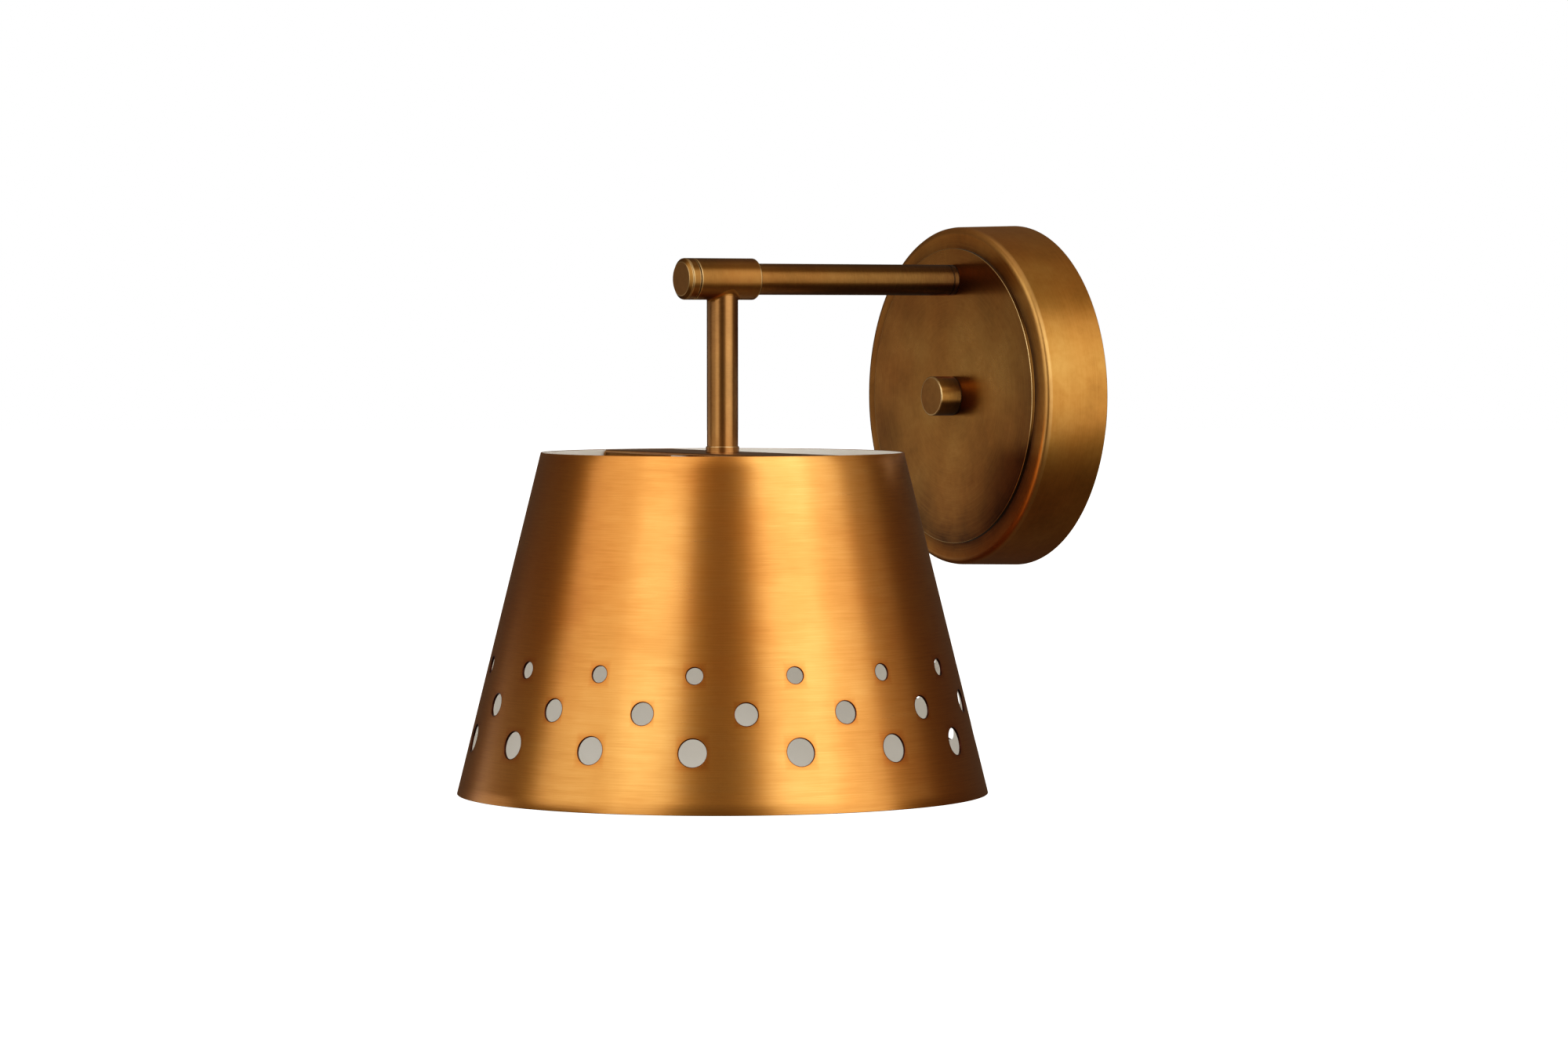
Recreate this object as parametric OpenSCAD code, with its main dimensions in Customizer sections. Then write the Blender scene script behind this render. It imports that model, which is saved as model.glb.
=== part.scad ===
// Wall sconce: a round canopy, a horizontal arm, a tee that swings on it, a downrod and a pierced cone shade.
// Origin: centre of the canopy's back, on the wall. The light stands out along -Y, and +Z is up.

/* [Canopy] */
// Diameter of the canopy pan at the wall
canopy_d = 133.5; // [120:0.5:170]
// How far the pan stands out from the wall
canopy_depth = 27.4; // [24:0.1:36]
// How much smaller the pan's radius is at the front than at the wall
canopy_draft = 0.75; // [0:0.05:2]
// Radius of the pan's front edge
canopy_edge_r = 2.5; // [1.8:0.1:4]
// Sheet thickness of the pan
canopy_wall = 1.2; // [0.8:0.1:1.6]
// Width of the pan's bare border round the raised face plate
plate_margin = 9.05; // [6:0.05:14]
// Thickness of the face plate
plate_t = 1.5; // [0.8:0.1:3]

/* [Arm] */
// Height of the arm's axis above the canopy's centre
arm_rise = 45.3; // [42:0.1:47]
// Distance from the wall to the downrod's axis
arm_reach = 132.2; // [120:0.2:180]
// Outer diameter of the arm tube
arm_d = 12; // [11.6:0.1:15]

/* [Lamp thread] */
// Diameter of the threaded tube that holds every joint of the lamp
thread_d = 10; // [8.2:0.1:10.4]
// Bore of the threaded tube
thread_bore = 7; // [6.4:0.1:7.4]
// Width across the flats of the nuts
nut_flats = 14; // [13:0.1:15]
// Thickness of the nuts
nut_t = 3.2; // [2.4:0.1:4]

/* [Tee] */
// Thickness of the tee sleeve's wall round the arm's diameter
tee_wall = 1.95; // [1.5:0.05:3]
// Length of the sleeve from the rod's axis towards the wall
tee_back = 13.3; // [11:0.1:18]
// Length of the sleeve from the rod's axis to its free end
tee_front = 13.2; // [11:0.1:18]
// How deep the arm tube enters the sleeve
tee_socket = 3.1; // [2:0.1:4.5]
// Width of the end ring
ring_w = 3.3; // [2:0.1:6]
// Gap between the sleeve and the end ring
ring_gap = 0.35; // [0.2:0.05:0.8]
// Thickness of the end cap's flange
cap_t = 1.25; // [1:0.05:3]
// Width of the bevel round the end cap
cap_bevel = 1.3; // [0.6:0.1:2]
// Size of the braze bead between the sleeve and the rod
braze = 0.9; // [0.5:0.1:1.5]

/* [Downrod] */
// Outer diameter of the downrod
rod_d = 12; // [11.6:0.1:15]
// Drop from the arm's axis to the shade's top edge
shade_drop = 66; // [58:0.5:90]
// Thickness of the collar round the rod's lower end
collar_t = 0.4; // [0.2:0.1:1]
// Height of the collar
collar_h = 2.4; // [1.5:0.1:5]

/* [Shade] */
// Diameter of the shade's bottom edge
shade_bottom_d = 203.2; // [166:0.2:250]
// Diameter of the shade's top edge
shade_top_d = 138.7; // [112:0.1:170]
// Height of the shade
shade_h = 130.4; // [118:0.2:170]
// Sheet thickness of the shade
shade_wall = 0.8; // [0.6:0.1:1.2]
// Width of the strap across the shade's top
strap_w = 30; // [24:0.5:40]
// Thickness of the strap
strap_t = 1.6; // [1.2:0.1:2.5]
// Length of the strap's tabs down the shade's wall
tab_len = 11; // [6:0.5:18]

/* [Shade holes] */
// Number of holes in each row
row_holes = 15; // [8:1:18]
// Diameter of the holes in the upper row
upper_hole_d = 6.3; // [3:0.1:8]
// Diameter of the holes in the middle row
middle_hole_d = 8.6; // [4:0.1:11]
// Diameter of the holes in the lower row
lower_hole_d = 10.5; // [5:0.1:13]
// Drop from the shade's top edge to the upper row
row_drop = 80; // [72:0.5:86]
// Distance from one row down to the next
row_pitch = 13.9; // [13:0.1:15]
// Turn of the upper and lower rows about the shade's axis, in degrees
row_turn = 11.5; // [0:0.5:24]

/* [Knob] */
// Diameter of the canopy knob
knob_d = 15.3; // [14.5:0.1:20]
// Length of the canopy knob
knob_len = 9.4; // [8:0.1:14]

/* [Crossbar] */
// Metal left at each end of the crossbar, past its slot
bar_end = 3.55; // [2:0.05:5]
// Width of the crossbar
bar_w = 22; // [18:0.5:28]
// Thickness of the crossbar
bar_t = 1.6; // [1.2:0.1:2.2]
// How far the crossbar's middle stands off the wall
bar_stand = 6.4; // [5:0.1:8]
// Distance between the two box screws
slot_spacing = 88.9; // [82:0.1:90]
// End to end length of each slot
slot_len = 12; // [8:0.5:13]
// Width of each slot
slot_w = 4.6; // [4.2:0.1:5.4]

/* [Lampholder] */
// Diameter of the porcelain body
holder_d = 38; // [36:0.2:48]
// Height of the porcelain body
holder_h = 48; // [46:0.5:56]
// Inner diameter of the screw shell for the lamp's cap
shell_d = 26.6; // [26.4:0.1:27]
// Sheet thickness of the screw shell
shell_t = 0.5; // [0.4:0.05:0.7]
// Length of the screw shell
shell_len = 22; // [18:0.5:23]
// Gap between the porcelain body and the socket cup
cup_gap = 2.5; // [1.5:0.1:6]
// Height of the socket cup
cup_h = 43.5; // [36:0.5:52]
// Sheet thickness of the socket cup
cup_wall = 1; // [0.8:0.1:1.5]
// Travel of the sprung centre contact
contact_travel = 1.2; // [0.8:0.1:1.3]

/* [Leads] */
// Diameter of each insulated lead
lead_d = 2.2; // [1.8:0.1:2.4]

/* [Hidden] */
$fn = 96;

run_gap = 0.05;      // radial clearance of a shaft that turns in its bore
pass_gap = 0.2;      // radial clearance of a threaded tube in a plain hole
end_gap = 0.1;       // axial clearance where a turning end faces a shoulder
chamfer = 0.35;      // small bevel on turned edges
over = 1;            // how far a cutter runs past what it cuts

thread_r = thread_d / 2;
bore_r = thread_bore / 2;
arm_r = arm_d / 2;
rod_r = rod_d / 2;
tee_r = arm_r + tee_wall;
face_out = canopy_depth + plate_t;
nut_r = nut_flats / sqrt(3);
plate_d = canopy_d - 2 * plate_margin;
bar_len = slot_spacing + slot_len + 2 * bar_end;

// Canopy fixings
nipple_in = 10.2;                     // how far the arm nipple reaches behind the pan's front wall
nipple_in_arm = 15;                   // and how far into the arm
washer_t = 1;
washer_r = nut_r + 0.4;
stud_back = 2;
bar_joggle_in = 22;
bar_joggle_out = 30;
bar_front = bar_stand + bar_t;
ground_x = 15.5;
ground_shank_r = 1.9;
ground_shank_len = 5;
knob_cap = 1.3;                       // closed end of the knob
knob_recess = 1;
knob_r = knob_d / 2;
recess_r = thread_r + (knob_r - thread_r) * 0.56;
stud_front = face_out + knob_len - knob_cap - 0.4;

// Tee
sleeve_near = arm_reach - tee_back;
sleeve_far = arm_reach + tee_front;
arm_end = sleeve_near + tee_socket - end_gap;
spindle_in_arm = 18;
spindle_end = sleeve_far + ring_gap + 0.45;
window_half = 5;
ring_near = sleeve_far + ring_gap;
ring_far = ring_near + ring_w;
cap_near = ring_far + end_gap;
cap_plug = 7;

// Shade and what hangs under its strap
shade_top_z = arm_rise - shade_drop;
shade_bottom_z = shade_top_z - shade_h;
shade_top_r = shade_top_d / 2;
shade_bottom_r = shade_bottom_d / 2;
shade_angle = atan((shade_bottom_r - shade_top_r) / shade_h);
shade_inset = shade_wall / cos(shade_angle);
strap_top = shade_top_z - 0.2;
strap_bottom = strap_top - strap_t;
tab_t = 1.2;
cup_edge_r = 6;
rod_nut_top = strap_bottom - cup_wall;
neck_top = rod_nut_top - nut_t - 0.5;
neck_h = 6;
neck_r = thread_r + 3;
bracket_t = 1.6;
bracket_top = neck_top - neck_h;
holder_top = bracket_top - bracket_t;
holder_bottom = holder_top - holder_h;
rod_nipple_top = strap_top + 12;
rod_nipple_bottom = holder_top + 1;
cavity_top = holder_top - 16;
shell_r = shell_d / 2;
cavity_r = shell_r + shell_t + 0.3;
strip_t = 0.6;
strip_bottom = cavity_top - strip_t;
spring_len = 3.5;
spring_wire_r = 0.35;
spring_r = 2.9;
spring_turns = 3;
button_r = 3.6;
button_t = 1.5;
stem_r = 2;
stem_h = 7;                           // how far the stem's bore reaches above the cavity
button_top = strip_bottom - spring_len;
shell_top = button_top - button_t - 0.6;
shell_bottom = shell_top - shell_len;
holder_r = holder_d / 2;
cup_r = holder_r + cup_gap + cup_wall;
terminal_y = cavity_r - 2.6;           // the terminal screws come down just inside the cavity
terminal_r = 4;                       // pocket that each terminal screw's head stands in
terminal_head_r = 3.2;
terminal_shank_r = 1.5;
terminal_depth = 5;
terminal_floor = holder_top - terminal_depth;
well_r = 6;                           // middle of the wiring channel on the holder's top
bracket_screw_x = holder_r - 7;
bracket_shank_r = 1.6;
bracket_shank_len = 10;
bracket_w = 13;

// Leads
lead_r = lead_d / 2;
lead_off = 1.3;                       // half the distance between the two leads
lead_sides = 8;
connector_r = 6.5;
connector_h = 16;
connector_y = canopy_depth / 2 + 0.3;
// Place of each wire connector's mouth as [x, z], and which way it opens
CONNECTORS = [[-24, 29, 1], [24, 29, 1], [42, 13, -1]];
// Route of an arm lead from its connector to the nipple, in its own side of the lamp
ARM_LEAD_TAIL = [
    [24, -14, 29], [23, -12.5, 33], [18, -9.5, 37.5], [10.5, -8, 41.5], [4.5, -9.5, 44.5]
];
GROUND_ROUTE = [
    [19.6, -9.3, 0], [26, -10, 0.5], [33, -11, 2.5], [39, -12.5, 6.5], [42, -14, 13]
];

// ---------- helpers ----------

// Places its children at a point of the wall plane's front, with their +Z pointing away from the wall
module from_wall(out = 0, x = 0, z = 0) {
    translate([x, -out, z]) rotate([90, 0, 0]) children();
}

// Places its children on the arm's axis, with their +Z pointing away from the wall
module on_arm(out) {
    from_wall(out, 0, arm_rise) children();
}

// Places its children on the downrod's axis
module on_rod(z) {
    translate([0, -arm_reach, z]) children();
}

module tube(outer, inner, h) {
    difference() {
        cylinder(r = outer, h = h);
        translate([0, 0, -1]) cylinder(r = inner, h = h + 2);
    }
}

// A tube whose outer edges carry a small bevel at the chosen ends
module turned_tube(outer, inner, h, low = chamfer, high = chamfer) {
    rotate_extrude()
        polygon([
            [inner, 0], [outer - low, 0], [outer, low],
            [outer, h - high], [outer - high, h], [inner, h]
        ]);
}

module hex_nut(bore, h) {
    difference() {
        cylinder(r = nut_r, h = h, $fn = 6);
        translate([0, 0, -1]) cylinder(r = bore, h = h + 2);
    }
}

// Solid dish that opens at z = 0 and closes at z = depth with a rounded edge
module dish(open_r, closed_r, depth, edge_r) {
    draft = atan((open_r - closed_r) / depth);
    side_r = open_r - (open_r - closed_r) * (depth - edge_r) / depth;
    edge_x = side_r - edge_r / cos(draft);
    rotate_extrude() {
        polygon([
            [0, 0], [open_r, 0],
            [edge_x + edge_r * cos(draft), depth - edge_r + edge_r * sin(draft)],
            [edge_x, depth - edge_r], [edge_x, depth], [0, depth]
        ]);
        intersection() {
            translate([edge_x, depth - edge_r]) circle(r = edge_r);
            translate([edge_x, depth - edge_r]) square(2 * edge_r);
        }
    }
}

// Hollow dish of one sheet thickness
module dish_shell(open_r, closed_r, depth, edge_r, sheet) {
    difference() {
        dish(open_r, closed_r, depth, edge_r);
        dish(open_r - sheet, closed_r - sheet, depth - sheet, edge_r - sheet);
        translate([0, 0, -over]) cylinder(r = open_r - sheet, h = over);
    }
}

module pan_screw(head_r, head_h, shank_r, shank_len) {
    difference() {
        cylinder(r = head_r, h = head_h);
        translate([-head_r - 1, -0.4, head_h - 0.7]) cube([2 * head_r + 2, 0.8, 2]);
    }
    translate([0, 0, -shank_len]) cylinder(r = shank_r, h = shank_len);
}

function unit(v) = v / norm(v);

// Point at t, from 0 to 1, of the smooth curve between b and c
function blend_point(a, b, c, d, t) =
    0.5 * (2 * b + (c - a) * t + (2 * a - 5 * b + 4 * c - d) * t * t + (3 * b - a - 3 * c + d) * t * t * t);

// Smooth curve through the points, with steps between each pair
function smooth_route(p, steps) = [
    for (i = [0 : len(p) - 2])
        for (s = [0 : steps - 1])
            blend_point(p[max(i - 1, 0)], p[i], p[i + 1], p[min(i + 2, len(p) - 1)], s / steps),
    p[len(p) - 1]
];

// Direction of a route at each of its points
function route_ways(p) = [
    for (i = [0 : len(p) - 1]) unit(p[min(i + 1, len(p) - 1)] - p[max(i - 1, 0)])
];

function square_to(v, way) = unit(v - (v * way) * way);

// Sweeps a round section of radius r along the route p; side is any direction square to its start
module swept_tube(p, r, side) {
    ways = route_ways(p);
    sides = [for (i = 0, s = square_to(side, ways[0]); i < len(p); i = i + 1,
                  s = i < len(p) ? square_to(s, ways[i]) : s) s];
    count = len(p);
    points = [
        for (i = [0 : count - 1])
            for (k = [0 : lead_sides - 1])
                p[i] + r * (cos(360 * k / lead_sides) * sides[i]
                            + sin(360 * k / lead_sides) * cross(ways[i], sides[i]))
    ];
    faces = concat(
        [[for (k = [0 : lead_sides - 1]) k]],
        [for (i = [0 : count - 2])
            for (k = [0 : lead_sides - 1])
                let (n = (k + 1) % lead_sides, a = i * lead_sides, b = a + lead_sides)
                    [a + k, b + k, b + n, a + n]],
        [[for (k = [0 : lead_sides - 1]) count * lead_sides - 1 - k]]
    );
    polyhedron(points = points, faces = faces);
}

// ---------- behind the canopy ----------

module crossbar() {
    bend = bar_t * tan(atan(bar_stand / (bar_joggle_out - bar_joggle_in)) / 2);
    half = bar_len / 2;
    color("silver") difference() {
        translate([0, 0, -bar_w / 2])
            linear_extrude(bar_w)
                polygon([
                    [-half, 0], [-bar_joggle_out, 0], [-bar_joggle_in, -bar_stand],
                    [bar_joggle_in, -bar_stand], [bar_joggle_out, 0], [half, 0],
                    [half, -bar_t], [bar_joggle_out + bend, -bar_t], [bar_joggle_in + bend, -bar_front],
                    [-bar_joggle_in - bend, -bar_front], [-bar_joggle_out - bend, -bar_t], [-half, -bar_t]
                ]);
        from_wall(-1) cylinder(r = thread_r, h = bar_front + 2);
        from_wall(-1, ground_x) cylinder(r = ground_shank_r, h = bar_front + 2);
        for (x = [-slot_spacing / 2, slot_spacing / 2])
            from_wall(-1, x) slot(bar_t + 2);
    }
}

module slot(h) {
    reach = (slot_len - slot_w) / 2;
    for (x = [-reach, reach])
        translate([x, 0, 0]) cylinder(d = slot_w, h = h);
    translate([-reach, -slot_w / 2, 0]) cube([2 * reach, slot_w, h]);
}

module center_stud() {
    color("goldenrod") from_wall(stud_back) tube(thread_r, bore_r, stud_front - stud_back);
}

module stud_lock_nut() {
    color("goldenrod") from_wall(bar_front) hex_nut(thread_r, nut_t);
}

module ground_screw() {
    color("green") from_wall(bar_front, ground_x) pan_screw(4, 2.4, ground_shank_r, ground_shank_len);
}

module canopy_pan() {
    color("sienna") difference() {
        from_wall()
            dish_shell(canopy_d / 2, canopy_d / 2 - canopy_draft, canopy_depth, canopy_edge_r, canopy_wall);
        canopy_bores();
    }
}

module canopy_plate() {
    color("peru") difference() {
        from_wall(canopy_depth)
            turned_tube(plate_d / 2, thread_r + pass_gap, plate_t, 0);
        canopy_bores();
    }
}

module canopy_bores() {
    for (z = [0, arm_rise])
        from_wall(canopy_depth - canopy_wall - 1, 0, z)
            cylinder(r = thread_r + pass_gap, h = canopy_wall + plate_t + 2);
}

// ---------- arm ----------

module arm_nipple() {
    color("goldenrod")
        on_arm(canopy_depth - nipple_in)
            tube(thread_r, bore_r, nipple_in + plate_t + nipple_in_arm);
}

module arm_lock_washer() {
    teeth = 12;
    color("silver") on_arm(canopy_depth - canopy_wall - washer_t) difference() {
        tube(washer_r, thread_r, washer_t);
        for (i = [0 : teeth - 1])
            rotate([0, 0, i * 360 / teeth])
                translate([washer_r - 1, -0.5, -1]) cube([3, 1, washer_t + 2]);
    }
}

module arm_hex_nut() {
    color("goldenrod") on_arm(canopy_depth - canopy_wall - washer_t - nut_t) hex_nut(thread_r, nut_t);
}

module wire_bushing() {
    flange_t = 1.4;
    spigot = 4;
    color("black") on_arm(canopy_depth - nipple_in - flange_t) {
        tube(thread_r + 0.8, bore_r - 0.6, flange_t);
        translate([0, 0, flange_t]) tube(bore_r, bore_r - 0.6, spigot);
    }
}

module arm_tube() {
    color("sienna") on_arm(face_out) tube(arm_r, thread_r, arm_end - face_out);
}

// Hollow shaft in the arm's end; its lower half is cut away where the leads turn down the rod
module pivot_spindle() {
    start = arm_end - spindle_in_arm;
    color("goldenrod") difference() {
        on_arm(start) tube(thread_r, bore_r, spindle_end - start);
        translate([-thread_r - 1, -arm_reach - window_half, arm_rise - thread_r - 1])
            cube([thread_d + 2, 2 * window_half, thread_r + 0.6]);
    }
}

function arm_lead_route(side) = concat(
    [for (p = smooth_route(ARM_LEAD_TAIL, 4)) [side * p[0], p[1], p[2]]],
    [[side * 2, -12.5, arm_rise - 0.1], [side * lead_off, -16, arm_rise]],
    [for (y = [24 : 8 : arm_reach - 12]) [side * lead_off, -y, arm_rise]],
    [[side * lead_off, -(arm_reach - lead_off - lead_r - 0.4), arm_rise]]
);

module arm_lead(side) {
    swept_tube(arm_lead_route(side), lead_r, [0, 1, 0]);
}

module live_lead_arm() {
    color("dimgray") arm_lead(1);
}

module neutral_lead_arm() {
    color("white") arm_lead(-1);
}

module ground_lead() {
    color("green") swept_tube(smooth_route(GROUND_ROUTE, 4), lead_r, [0, 0, 1]);
}

module wire_connectors() {
    color("orange")
        for (c = CONNECTORS)
            translate([c[0], -connector_y, c[1]]) mirror([0, 0, c[2] > 0 ? 1 : 0]) {
                cylinder(r1 = connector_r, r2 = connector_r - 1.6, h = connector_h - 2);
                translate([0, 0, connector_h - 2])
                    cylinder(r1 = connector_r - 1.6, r2 = connector_r - 3, h = 2);
            }
}

// ---------- canopy knob ----------

module knob_washer() {
    color("ivory") from_wall(face_out) tube(recess_r - 0.1, thread_r + pass_gap, knob_recess);
}

module canopy_knob() {
    bore = thread_r + run_gap;
    color("peru") from_wall(face_out) rotate_extrude() polygon([
        [recess_r, 0], [knob_r - chamfer, 0], [knob_r, chamfer],
        [knob_r, knob_len - chamfer], [knob_r - chamfer, knob_len], [0, knob_len],
        [0, knob_len - knob_cap], [bore, knob_len - knob_cap], [bore, knob_recess], [recess_r, knob_recess]
    ]);
}

// ---------- tee ----------

module tee_sleeve() {
    color("sienna") difference() {
        on_arm(sleeve_near)
            turned_tube(tee_r, thread_r + run_gap, tee_back + tee_front, chamfer, 0.15);
        on_arm(sleeve_near - 1) cylinder(r = arm_r + run_gap, h = tee_socket + 1);
        on_rod(arm_rise - tee_r - 1) cylinder(r = thread_r, h = tee_r + 1);
    }
}

module tee_braze() {
    color("peru") difference() {
        intersection() {
            on_rod(arm_rise - tee_r - 3) cylinder(r = rod_r + braze, h = tee_r + 2);
            on_arm(sleeve_near) cylinder(r = tee_r + braze, h = tee_back + tee_front);
        }
        on_arm(sleeve_near - 1) cylinder(r = tee_r, h = tee_back + tee_front + 2);
        on_rod(arm_rise - tee_r - 4) cylinder(r = rod_r, h = tee_r + 4);
    }
}

module end_ring() {
    color("peru") on_arm(ring_near) turned_tube(tee_r, thread_r + run_gap, ring_w, 0.15, 0.25);
}

module end_cap() {
    edge_r = tee_r - 0.1;
    flange = cap_t - end_gap;
    color("peru") on_arm(cap_near) {
        rotate_extrude() polygon([
            [0, 0], [edge_r, 0], [edge_r, 0.15], [edge_r - cap_bevel, flange - 0.15],
            [edge_r - cap_bevel - 0.5, flange], [0, flange]
        ]);
        translate([0, 0, spindle_end - cap_near]) cylinder(r = thread_r, h = cap_near - spindle_end);
        translate([0, 0, spindle_end - cap_near - cap_plug])
            cylinder(r = bore_r - run_gap, h = cap_plug);
    }
}

// ---------- downrod and shade ----------

module downrod() {
    color("peru") difference() {
        on_rod(strap_top) tube(rod_r, thread_r, arm_rise - strap_top);
        on_arm(sleeve_near - 1) cylinder(r = tee_r, h = tee_back + tee_front + 2);
    }
}

module rod_collar() {
    color("peru") on_rod(strap_top) turned_tube(rod_r + collar_t, rod_r, collar_h, 0, 0.2);
}

module rod_nipple() {
    color("goldenrod")
        on_rod(rod_nipple_bottom) tube(thread_r, bore_r, rod_nipple_top - rod_nipple_bottom);
}

// Solid cone along the shade's outer face, moved inwards by inset and longer by extra at both ends
module shade_cone(inset, extra = 0) {
    slope = tan(shade_angle);
    on_rod(shade_bottom_z - extra)
        cylinder(r1 = shade_bottom_r - inset + extra * slope, r2 = shade_top_r - inset - extra * slope,
                 h = shade_h + 2 * extra);
}

module shade() {
    color("goldenrod") difference() {
        shade_cone(0);
        shade_cone(shade_inset, 1);
        hole_row(0, upper_hole_d, row_turn);
        hole_row(1, middle_hole_d, row_turn + 180 / row_holes);
        hole_row(2, lower_hole_d, row_turn);
    }
}

// One row of holes, each drilled square to the shade's wall
module hole_row(row, d, turn) {
    drop = row_drop + row * row_pitch;
    r = shade_top_r + drop * tan(shade_angle);
    on_rod(shade_top_z - drop)
        for (i = [0 : row_holes - 1])
            rotate([0, 0, turn + i * 360 / row_holes])
                translate([r, 0, 0])
                    rotate([0, 90 - shade_angle, 0])
                        translate([0, 0, -4]) cylinder(d = d, h = 8, $fn = 48);
}

// Flat bridge across the shade's top, with a tab down the wall at each end
module shade_strap() {
    color("sienna") difference() {
        union() {
            intersection() {
                on_rod(strap_bottom)
                    translate([-shade_top_r, -strap_w / 2, 0]) cube([shade_top_d, strap_w, strap_t]);
                shade_cone(shade_inset, 1);
            }
            intersection() {
                on_rod(strap_bottom - tab_len)
                    translate([-shade_bottom_r, -strap_w / 2, 0])
                        cube([shade_bottom_d, strap_w, tab_len + strap_t / 2]);
                difference() {
                    shade_cone(shade_inset, 1);
                    shade_cone(shade_inset + tab_t, 2);
                }
            }
        }
        on_rod(strap_bottom - 1) cylinder(r = thread_r + pass_gap, h = strap_t + 2);
    }
}

// ---------- lampholder ----------

module socket_cup() {
    color("peru") difference() {
        on_rod(strap_bottom - cup_h) dish_shell(cup_r, cup_r, cup_h, cup_edge_r, cup_wall);
        on_rod(strap_bottom - cup_wall - 1) cylinder(r = thread_r + pass_gap, h = cup_wall + 2);
    }
}

module rod_nut() {
    color("goldenrod") on_rod(rod_nut_top - nut_t) hex_nut(thread_r, nut_t);
}

module lampholder_bracket() {
    reach = holder_r - 2.5;
    color("silver") difference() {
        union() {
            on_rod(bracket_top) cylinder(r = neck_r, h = neck_h);
            on_rod(holder_top) translate([-reach, -bracket_w / 2, 0]) cube([2 * reach, bracket_w, bracket_t]);
        }
        on_rod(holder_top - 1) cylinder(r = thread_r, h = neck_h + bracket_t + 2);
        bracket_screw_bores();
    }
}

module bracket_screw_bores() {
    for (x = [-bracket_screw_x, bracket_screw_x])
        translate([x, 0, 0]) on_rod(bracket_top - bracket_shank_len)
            cylinder(r = bracket_shank_r, h = bracket_shank_len + over);
}

module bracket_screws() {
    color("silver")
        for (x = [-bracket_screw_x, bracket_screw_x])
            translate([x, 0, 0]) on_rod(bracket_top) pan_screw(2.8, 1.8, bracket_shank_r, bracket_shank_len);
}

module lampholder_body() {
    channel = lead_d + 1;
    color("white") difference() {
        on_rod(holder_bottom)
            rotate_extrude() polygon([
                [0, 0], [holder_r - 1.5, 0], [holder_r, 1.5],
                [holder_r, holder_h - 2], [holder_r - 2, holder_h], [0, holder_h]
            ]);
        on_rod(holder_bottom - 1) cylinder(r = cavity_r, h = cavity_top - holder_bottom + 1);
        on_rod(terminal_floor) cylinder(r = well_r, h = terminal_depth + over);
        on_rod(terminal_floor)
            translate([-channel / 2, -terminal_y, 0]) cube([channel, 2 * terminal_y, terminal_depth + over]);
        for (y = [-terminal_y, terminal_y])
            translate([0, y, 0]) {
                on_rod(terminal_floor) cylinder(r = terminal_r, h = terminal_depth + over);
                on_rod(cavity_top - over) cylinder(r = terminal_shank_r, h = holder_top - cavity_top + over);
            }
        on_rod(cavity_top - over) cylinder(r = stem_r + run_gap, h = stem_h + over + 1);
        bracket_screw_bores();
    }
}

// Sheet-metal shell for the lamp's cap, with a flat tongue up to a foot under the neutral terminal
module screw_shell() {
    tongue_w = 4;
    tongue_lap = 3;
    tongue_out = shell_r + shell_t + 0.1;
    foot_in = terminal_y - 3;
    color("silver") {
        on_rod(shell_bottom) tube(shell_r + shell_t, shell_r, shell_len);
        on_rod(shell_top - tongue_lap)
            translate([-tongue_w / 2, -tongue_out, 0])
                cube([tongue_w, shell_t, cavity_top - shell_top + tongue_lap]);
        on_rod(strip_bottom)
            translate([-tongue_w / 2, -tongue_out, 0]) cube([tongue_w, tongue_out - foot_in, strip_t]);
    }
}

module terminal_screws() {
    color("goldenrod")
        for (y = [-terminal_y, terminal_y])
            translate([0, y, 0]) on_rod(terminal_floor)
                pan_screw(terminal_head_r, 2.6, terminal_shank_r, terminal_floor - cavity_top);
}

// Strip from the live terminal to the middle, which the contact's spring stands on
module live_strip() {
    color("peru") difference() {
        union() {
            on_rod(strip_bottom) cylinder(r = 4.2, h = strip_t);
            on_rod(strip_bottom) translate([-2.6, 0, 0]) cube([5.2, terminal_y + 1.4, strip_t]);
        }
        on_rod(strip_bottom - 1) cylinder(r = stem_r + 0.3, h = strip_t + 2);
    }
}

module contact_button() {
    color("goldenrod") {
        on_rod(button_top - button_t)
            rotate_extrude() polygon([
                [0, 0], [button_r - 1, 0], [button_r, 0.8], [button_r, button_t], [0, button_t]
            ]);
        on_rod(button_top) cylinder(r = stem_r, h = spring_len + strip_t + stem_h - contact_travel);
    }
}

module contact_spring() {
    rise = spring_len - 2 * spring_wire_r;
    steps = 16 * spring_turns;
    coil = [
        for (i = [0 : steps])
            let (a = 360 * spring_turns * i / steps)
                [spring_r * cos(a), spring_r * sin(a) - arm_reach,
                 button_top + spring_wire_r + rise * i / steps]
    ];
    color("silver") swept_tube(coil, spring_wire_r, [1, 0, 0]);
}

function rod_lead_route(side) =
    let (low = terminal_floor + lead_r + 0.1, mid = -arm_reach)
    concat(
        [[0, mid + side * lead_off, arm_rise - 1.5]],
        [for (z = [arm_rise - 8 : -8 : holder_top + 8]) [0, mid + side * lead_off, z]],
        [[0, mid + side * lead_off, holder_top + 1.5], [0, mid + side * 1.6, low + 2.4],
         [0, mid + side * 2.6, low + 0.7], [0, mid + side * 4.2, low],
         [0, mid + side * (terminal_y - terminal_head_r), low]]
    );

module live_lead_rod() {
    color("dimgray") swept_tube(rod_lead_route(1), lead_r, [1, 0, 0]);
}

module neutral_lead_rod() {
    color("white") swept_tube(rod_lead_route(-1), lead_r, [1, 0, 0]);
}

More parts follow.
